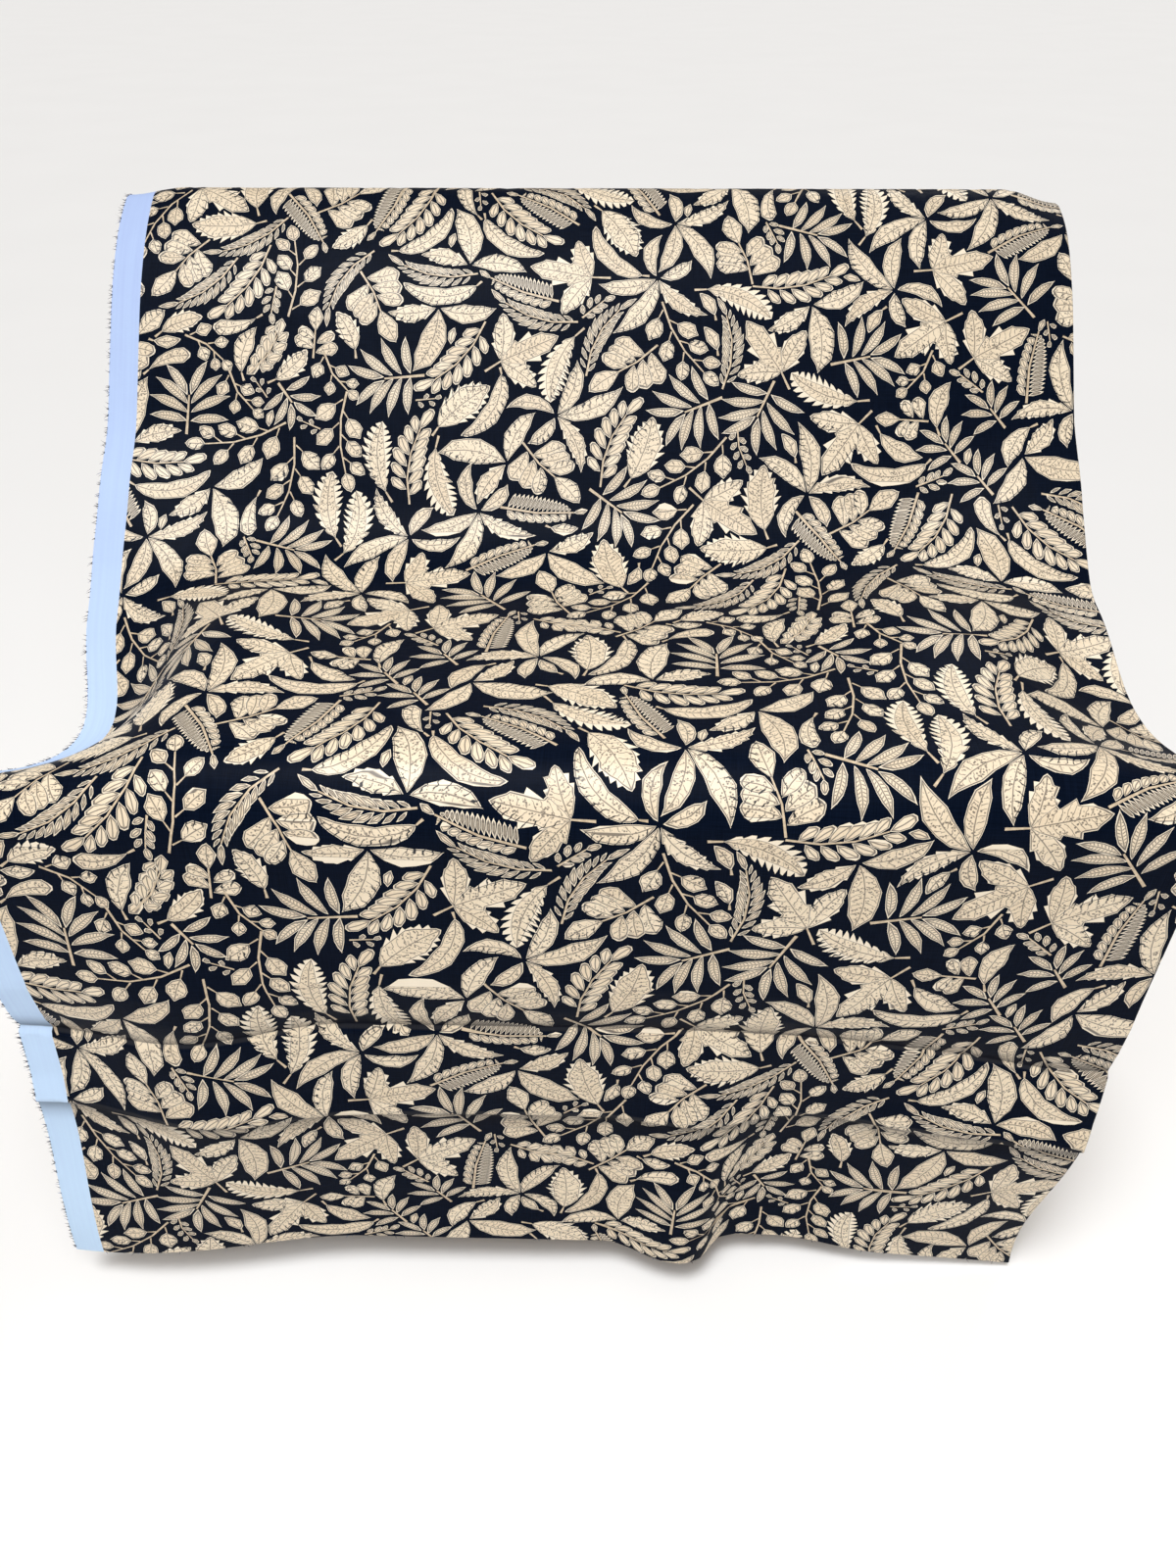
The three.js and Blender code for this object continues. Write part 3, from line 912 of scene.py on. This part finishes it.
# How fast a lee's shade falls off, where it starts, and its unevenness: least, spread and noise.
LEE_FALL, LEE_START = 1.6, (0.0, 0.0006)
LEE_LEAST, LEE_SPREAD, LEE_NOISE = 0.55, 0.9, (14, 3, 0)


def weave(graph):
    """The plain weave's height, its threads' unevenness, and where it lies, in metres of the sheet."""
    where = graph.uv("weave")
    wide, run = graph.split(where)
    over = graph.math("SINE", graph.times(wide, math.pi / THREAD))
    under = graph.math("SINE", graph.times(run, math.pi / THREAD))
    knit = graph.times(over, under)
    weft = graph.noise(where, (SLUB[0], SLUB[1], 0), 3.0, 0.6)
    warp = graph.noise(where, (SLUB[1], SLUB[0], 0), 3.0, 0.6)
    slub = graph.plus(weft, warp)
    return graph.plus(graph.times(knit, KNIT_SHARE), slub), slub, where


def paint_crease_shade_and_highlight(graph, where, colour):
    """Paints shade in the lee of the cloth's pressed creases, and a painted highlight, a pale worn edge, on
    their lit lips.
    """
    wide, run = graph.split(where)
    from_fold = graph.size(graph.minus(wide, (FRONT_WIDE + FOLD_WIDE / 2) * MM))
    aside = graph.over(graph.minus(HALF_WIDTH * MM, from_fold), BOW_REACH * MM)
    arched = graph.minus(1.0, graph.times(aside, aside), clamp=True)
    uneven = graph.plus(LEE_LEAST, graph.times(graph.noise(where, LEE_NOISE), LEE_SPREAD))
    for at, bow, lee, reach, strength, edge in CREASE_SHADES:
        crease = graph.plus(at, graph.times(arched, bow))
        away = graph.times(graph.minus(run, crease), lee)
        near = graph.minus(1.0, graph.over(away, reach), clamp=True)
        shade = graph.times(graph.math("POWER", near, LEE_FALL), graph.above(away, *LEE_START))
        # Painted shade in the crease's lee.
        colour = graph.mix(graph.times(shade, strength, uneven), colour, SHADE)
        # A painted highlight on the crease's lit lip, drawn as a pale worn edge.
        worn_highlight = graph.band(graph.plus(away, edge), 0.0, edge / 2, edge)
        colour = graph.mix(graph.times(worn_highlight, WORN_HIGHLIGHT), colour, WORN_HIGHLIGHT_COLOUR)
    return colour


def cotton(name, paint, roughness=0.38, gloss=0.42):
    """A printed cotton whose colour comes from paint(graph, slub, where), with the creases' painted shade
    and highlight over it.
    """
    graph = Graph(name)
    height, slub, where = weave(graph)
    # Over the print go the creases' painted shade and highlight.
    colour = paint_crease_shade_and_highlight(graph, where, paint(graph, slub, where))
    crumples = graph.noise(where, *CRUMPLE_NOISE)
    soft = graph.bump(crumples, *CRUMPLE_BUMP, Normal=graph.bump(height, *THREAD_BUMP))
    return graph.finish(Base_Color=colour, Roughness=roughness, Specular_IOR_Level=gloss, Normal=soft)


def paint_ground(graph, slub, where):
    return graph.mix(graph.above(slub, 1.0, 0.5), GROUND_DARK, GROUND_LIGHT)


# A leaf's fill: its noise, and what the noise, the leaf's own tone and the threads each add.
FILL_NOISE, NOISE_SHARE, OWN_SHARE, SLUB_SHARE = (90.0, 2.0), 0.5, 0.5, 0.9

# The linework in millimetres. A pair is where a soft edge lies and how soft it is. EDGE pairs are inside
# the leaf's outline, RIB pairs beside its midrib, and a SHARE is how strongly a line is inked.
RIM, RIM_SHARE = (0.45, 0.3), 0.55
CONTOUR, CONTOUR_SHARE = (0.48, 0.12, 0.22), 0.85
MIDRIB, MIDRIB_EDGE, MIDRIB_SHARE = (0.0, 0.16, 0.22), (0.6, 0.5), 0.75
VEIN_PITCH, VEIN_SPREAD, VEIN_NOISE, VEIN_WANDER = 2.8, 1.8, (320.0, 1.0), 0.9
VEIN, VEIN_EDGE, VEIN_RIB, VEIN_SHARE = (0.22, 0.22), (1.0, 0.5), (0.7, 0.3), 0.72
DOTS, DOT, DOT_EDGE, DOT_SHARE = 720.0, (0.33, 0.16), (1.0, 0.4), 0.8
DOT_NOISE, DOT_PATCH = (110.0, 1.0), (0.4, 0.1)
RUNG_PITCH, RUNG, RUNG_EDGE, RUNG_RIB, RUNG_SHARE = 1.7, (0.33, 0.12), (0.7, 0.3), (0.45, 0.2), 0.7

# Some leaves are feathered on one side: slits between the veins let the ground in from the edge.
SLIT, SLIT_DEEP, FEATHERED, SLIT_SIDE = (0.34, 0.3), (2.6, 0.8), (0.45, 0.02), (0.0, 0.2)


def leaf_paint(veins=False, ladder=False):
    """The colour of a leaf: a pale rim, an inked contour, a midrib and, on large ones, side veins."""

    def paint(graph, slub, where):
        sigma, off = graph.split(graph.uv("leaf"))
        inside, seed = graph.split(graph.uv("edge"))
        reach = graph.size(off)
        patchy = graph.times(graph.noise(where, *FILL_NOISE), NOISE_SHARE)
        tone = graph.plus(patchy, graph.times(seed, OWN_SHARE))
        tone = graph.plus(tone, graph.times(graph.minus(slub, 1.0), SLUB_SHARE), clamp=True)
        fill = graph.mix(tone, LEAF_DARK, LEAF_LIGHT)
        fill = graph.mix(graph.times(graph.below(inside, *RIM), RIM_SHARE), fill, LEAF_RIM)
        ink = graph.times(graph.band(inside, *CONTOUR), CONTOUR_SHARE)

        def drawn(*line):
            return graph.math("MAXIMUM", ink, graph.times(*line))

        ink = drawn(graph.band(reach, *MIDRIB), graph.above(inside, *MIDRIB_EDGE), MIDRIB_SHARE)
        if veins:
            wander = graph.times(graph.noise(where, *VEIN_NOISE), VEIN_WANDER)
            pitch = graph.plus(VEIN_PITCH, graph.times(seed, VEIN_SPREAD))
            turns = graph.plus(graph.over(sigma, pitch), wander)
            away = graph.size(graph.minus(graph.math("FRACT", turns), 0.5))
            line = graph.below(graph.times(away, pitch), *VEIN)
            shown = graph.times(graph.above(inside, *VEIN_EDGE), graph.above(reach, *VEIN_RIB))
            ink = drawn(line, shown, VEIN_SHARE)
            dots = graph.add("ShaderNodeTexVoronoi", {"Vector": where, "Scale": DOTS}).outputs["Distance"]
            dot = graph.below(dots, *DOT)
            patch = graph.above(graph.noise(where, *DOT_NOISE), *DOT_PATCH)
            ink = drawn(dot, graph.times(patch, graph.above(inside, *DOT_EDGE)), DOT_SHARE)
        if ladder:
            rung = graph.size(graph.minus(graph.math("FRACT", graph.over(sigma, RUNG_PITCH)), 0.5))
            shown = graph.times(graph.above(inside, *RUNG_EDGE), graph.above(reach, *RUNG_RIB))
            ink = drawn(graph.above(rung, *RUNG), shown, RUNG_SHARE)
        colour = graph.mix(ink, fill, INK)
        if veins:
            slit = graph.below(graph.times(away, pitch), *SLIT)
            outer = graph.below(inside, *SLIT_DEEP)
            feathered = graph.times(graph.above(seed, *FEATHERED), graph.above(off, *SLIT_SIDE))
            colour = graph.mix(graph.times(slit, outer, feathered), colour, GROUND_DARK)
        return colour

    return paint


def paint_stem(graph, slub, where):
    tone = graph.above(graph.noise(where, 400.0, 2.0), 0.5, 0.5)
    return graph.mix(tone, STEM_DARK, LEAF_DARK)


# The selvedge's paint: the scale and share of its stripes and its patches, and its painted shade, which
# deepens with the run from pale by the front hem to darker blue.
SELVEDGE_STRIPES, STRIPES_SHARE, SELVEDGE_PATCHES, PATCHES_SHARE = (500, 8, 0), 0.4, 30.0, 0.2
SELVEDGE_START, SELVEDGE_SHADE_RATE = 0.7, 1.3


def paint_selvedge(graph, slub, where):
    _, run = graph.split(where)
    stripes = graph.times(graph.noise(where, SELVEDGE_STRIPES), STRIPES_SHARE)
    uneven = graph.plus(stripes, graph.times(graph.noise(where, SELVEDGE_PATCHES), PATCHES_SHARE))
    # Painted shade: pale by the front hem, darker and bluer further along the run.
    painted_light = graph.minus(SELVEDGE_START, graph.times(run, SELVEDGE_SHADE_RATE))
    return graph.mix(graph.plus(uneven, painted_light, clamp=True), SELVEDGE_BLUE, SELVEDGE_PALE)


def paint_thread(graph, slub, where):
    return graph.mix(graph.above(graph.noise(graph.place(), 160.0), 0.58, 0.1), THREAD_DARK, THREAD_PALE)


# The rack's woods. Lengths in metres, colours linear.
PLY, PLY_FACE = 0.00133, ((0.50, 0.335, 0.18), (0.78, 0.60, 0.40))
PLY_EDGE, PLY_STAIN = ((0.27, 0.165, 0.085), (0.66, 0.48, 0.29)), (0.42, 0.28, 0.16)
BEECH = ((0.42, 0.235, 0.12), (0.70, 0.47, 0.28))
ACROSS_GRAIN, DRAWN_OUT, BROAD_GRAIN = 220, 205, 9


def plywood(name, thick, grain):
    """Birch plywood: long grain on the faces across "thick", and the plies on its edges."""
    graph = Graph(name)
    where = graph.place()
    normal = graph.add("ShaderNodeNewGeometry").outputs["Normal"]
    edge = graph.above(graph.size(graph.along(normal, thick)), 0.75, 0.05)
    squeeze = tuple(ACROSS_GRAIN - DRAWN_OUT * abs(part) for part in grain)
    grown = graph.noise(where, squeeze, 5.0, 0.62)
    broad = graph.noise(where, tuple(part / BROAD_GRAIN for part in squeeze))
    tone = graph.plus(graph.times(grown, 0.65), graph.times(broad, 0.45), clamp=True)
    face = graph.mix(tone, *PLY_FACE)
    parity = graph.math("PINGPONG", graph.over(graph.along(where, thick), PLY), 1.0)
    layer = graph.above(parity, 0.5, 0.12)
    wavy = graph.noise(where, (90, 90, 90), 3.0)
    side = graph.mix(layer, *PLY_EDGE)
    side = graph.mix(graph.times(wavy, 0.35), side, PLY_STAIN)
    colour = graph.mix(edge, side, face)
    rough = graph.plus(0.48, graph.times(tone, 0.14))
    return graph.finish(Base_Color=colour, Roughness=rough, Normal=graph.bump(grown, 0.25, 0.0002))


def beech(name):
    graph = Graph(name)
    where = graph.place()
    grown = graph.noise(where, (14, 260, 260), 4.0, 0.6)
    fleck = graph.noise(where, (160, 900, 900))
    tone = graph.plus(graph.times(grown, 0.8), graph.times(fleck, 0.25), clamp=True)
    colour = graph.mix(tone, *BEECH)
    return graph.finish(Base_Color=colour, Roughness=0.46, Normal=graph.bump(grown, 0.2, 0.0002))


def floor_paint():
    graph = Graph("floor_paint")
    tone = graph.noise(graph.place(), 3.0)
    return graph.finish(Base_Color=graph.mix(tone, (0.91, 0.91, 0.91), (0.94, 0.94, 0.94)), Roughness=0.85)


def new_piece(name, points, faces, materials):
    mesh = bpy.data.meshes.new(name)
    mesh.from_pydata(points.tolist(), [], faces.tolist())
    for material in materials:
        mesh.materials.append(material)
    piece = bpy.data.objects.new(name, mesh)
    bpy.context.scene.collection.objects.link(piece)
    return piece


def set_uv(mesh, name, corners):
    layer = mesh.uv_layers.new(name=name)
    layer.data.foreach_set("uv", np.ascontiguousarray(corners, dtype=np.float32).ravel())


def leaf_maps(flat, triangles, owner, leaves):
    """Where the triangles' corners lie in their leaf: (along, offset), and (inside its edge, its share)."""
    frame_map = np.zeros((len(triangles), 3, 2))
    edge_map = np.zeros((len(triangles), 3, 2))
    shares = np.random.default_rng(SEED).random(len(leaves))
    order = np.argsort(owner, kind="stable")
    starts = np.searchsorted(owner[order], np.arange(len(leaves) + 1))
    for index, leaf in enumerate(leaves):
        mine = order[starts[index] : starts[index + 1]]
        if len(mine) and leaf.style != "stem":
            sigma, off, inside = leaf.inside_frame(flat[triangles[mine]])
            frame_map[mine] = np.stack([sigma, off], -1)
            edge_map[mine] = np.stack([np.maximum(inside, 0), np.full_like(inside, shares[index])], -1)
    return frame_map, edge_map


# The cloth's materials, by what owns a triangle or by a leaf's style, in the order of its slots.
STYLES = ("ground", "selvedge", "leaf", "ladder", "fine", "plain", "stem")
GROUND_GLOSS, WOVEN_ROUGH = 0.025, 0.8


def make_cloth():
    leaves = sheet_leaves(pack())
    flat, triangles, owner = cut_sheet(leaves)
    points, normals = hang(flat[:, 0], flat[:, 1])
    materials = [
        cotton("printed_ground", paint_ground, gloss=GROUND_GLOSS),
        cotton("woven_selvedge", paint_selvedge, WOVEN_ROUGH),
        cotton("printed_leaf", leaf_paint(veins=True)),
        cotton("printed_ladder_leaf", leaf_paint(ladder=True)),
        cotton("printed_leaflet", leaf_paint()),
        cotton("printed_sprig", leaf_paint()),
        cotton("printed_stem", paint_stem),
    ]
    cloth = new_piece("printed_cotton", points, triangles, materials)
    mesh = cloth.data
    # The last two are looked up by ON_SELVEDGE and by the ground's -1.
    slots = [STYLES.index(style) for style in (*(leaf.style for leaf in leaves), "selvedge", "ground")]
    mesh.polygons.foreach_set("material_index", np.array(slots, np.int32)[owner])
    mesh.polygons.foreach_set("use_smooth", np.ones(len(triangles), bool))
    frame_map, edge_map = leaf_maps(flat, triangles, owner, leaves)
    set_uv(mesh, "weave", flat[triangles] * MM)
    set_uv(mesh, "leaf", frame_map)
    set_uv(mesh, "edge", edge_map)
    mesh.normals_split_custom_set_from_vertices(normals.tolist())
    mesh.update()
    return cloth


# Loose thread ends along the cut sheet's edges: wide or run of the edge, how many, shortest and longest.
FRAY = (
    ("wide", 0.0, 560, 1.0, 3.1),
    ("wide", SHEET_WIDTH, 260, 0.9, 2.8),
    ("run", 0.0, 60, 0.8, 3.0),
    ("run", LENGTH, 40, 0.8, 2.6),
)

# Half a thread's width, its root's tuck and thickness, and how far its tip strays.
THREAD_HALF, THREAD_TUCK, THREAD_THICK = 0.22, 0.3, 1.5
STRAY_ASIDE, STRAY_OFF = 0.9, 0.4


def edge_thread(random, edge, place, shortest, longest):
    """One thread end as a thin three-sided spike: its root's three corners and its tip."""
    along = random.uniform(2, (LENGTH if edge == "wide" else SHEET_WIDTH) - 2)
    inward = 1.0 if place == 0 else -1.0
    spots = np.array([(place, along), (place + inward, along), (place, along + 1)])
    if edge == "run":
        spots = spots[:, ::-1]
        spots[2] = (along + 1, place)
    points, normals = hang(spots[:, 0], spots[:, 1])
    root, out, side, face = points[0], points[0] - points[1], points[2] - points[0], normals[0] * MM
    length = random.uniform(shortest, longest)
    aside, off = random.uniform(-STRAY_ASIDE, STRAY_ASIDE), random.uniform(-STRAY_OFF, STRAY_OFF)
    tip = root + length * (out + aside * side + off * face)
    low = root - THREAD_TUCK * out
    top = low + THREAD_THICK * THREAD_HALF * face
    return np.array([low + THREAD_HALF * side, low - THREAD_HALF * side, top, tip])


def make_fray():
    random = np.random.default_rng(SEED)
    spikes = [
        edge_thread(random, edge, place, shortest, longest)
        for edge, place, count, shortest, longest in FRAY
        for _ in range(count)
    ]
    sides = np.array([(0, 1, 3), (1, 2, 3), (2, 0, 3), (0, 2, 1)])
    faces = np.concatenate([sides + 4 * index for index in range(len(spikes))])
    material = cotton("loose_thread", paint_thread, WOVEN_ROUGH)
    return new_piece("frayed_threads", np.concatenate(spikes), faces, [material])


cloth = make_cloth()
fray = make_fray()
for piece in (cloth, fray):
    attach(piece, "root")
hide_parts("cloth")


# How steeply the rest board leans back, in degrees from level.
REST_LEAN = 81


def finish_rack():
    back = math.radians(REST_LEAN)
    lie = (0, -math.sin(back), math.cos(back))
    woods = {
        "cheek_left": plywood("cheek_left_plywood", (1, 0, 0), (0, 0, 1)),
        "cheek_right": plywood("cheek_right_plywood", (1, 0, 0), (0, 0, 1)),
        "seat_board": plywood("seat_plywood", (0, 0.05, 1), (1, 0, 0)),
        "rest_board": plywood("rest_plywood", lie, (1, 0, 0)),
        "base_board": plywood("base_plywood", (0, 0, 1), (1, 0, 0)),
        "front_rail": beech("front_rail_beech"),
        "top_rail": beech("top_rail_beech"),
    }
    for name, wood in woods.items():
        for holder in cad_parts[name].material_slots:
            holder.material = wood


finish_rack()

# The camera stands where the photograph was taken from: its long side is upright.
CAMERA_AT = (0.00838, -0.59994, 0.640)
CAMERA_TURN = (53.5, 0.0, 0.8)
LENS, SENSOR = 27.045, 36.0


def make_camera():
    data = bpy.data.cameras.new("camera")
    data.lens, data.sensor_width, data.clip_start = LENS, SENSOR, 0.01
    camera = bpy.data.objects.new("camera", data)
    camera.location = CAMERA_AT
    camera.rotation_euler = [math.radians(turn) for turn in CAMERA_TURN]
    bpy.context.scene.collection.objects.link(camera)
    bpy.context.scene.camera = camera


# A soft high key, a wide panel above the camera, a weak fill from behind, and pale surroundings.
KEY_FROM, KEY_POWER, KEY_SPREAD, KEY_COLOUR = (-0.13, -0.22, 0.965), 1.72, 20.0, (0.98, 0.99, 1.0)
PANEL_AT, PANEL_AIM, PANEL_SIDE, PANEL_POWER = (-0.05, -0.64, 0.96), (0.0, -0.15, 0.3), 0.5, 3.9
FILL_FROM, FILL_POWER = (0.3, 0.62, 0.72), 0.4
SKY_COLOUR, SKY = (1.0, 0.94, 0.87), 0.33
FLOOR_REACH, ABOVE, WHITE = 30.0, (0, 0, 2), (1, 1, 1)


def add_light(name, kind, power, colour, place, towards):
    data = bpy.data.lights.new(name, kind)
    data.energy, data.color = power, colour
    light = bpy.data.objects.new(name, data)
    light.location = place
    light.rotation_euler = Vector(towards).to_track_quat("-Z", "Y").to_euler()
    bpy.context.scene.collection.objects.link(light)
    return data


def make_studio():
    far = FLOOR_REACH
    corners = np.array([(-far, -far, 0), (far, -far, 0), (far, far, 0), (-far, far, 0)])
    new_piece("floor", corners, np.array([(0, 1, 2, 3)]), [floor_paint()])
    key = add_light("key", "SUN", KEY_POWER, KEY_COLOUR, ABOVE, -Vector(KEY_FROM))
    key.angle = math.radians(KEY_SPREAD)
    towards = Vector(PANEL_AIM) - Vector(PANEL_AT)
    panel = add_light("panel", "AREA", PANEL_POWER, WHITE, PANEL_AT, towards)
    panel.size = PANEL_SIDE
    fill = add_light("fill", "SUN", FILL_POWER, WHITE, ABOVE, -Vector(FILL_FROM))
    fill.angle = math.radians(KEY_SPREAD)
    world = bpy.data.worlds.new("studio")
    world.use_nodes = True
    sky = world.node_tree.nodes["Background"]
    sky.inputs["Color"].default_value = (*SKY_COLOUR, 1)
    sky.inputs["Strength"].default_value = SKY
    bpy.context.scene.world = world
    bpy.context.scene.view_settings.view_transform = "Standard"


make_camera()
make_studio()
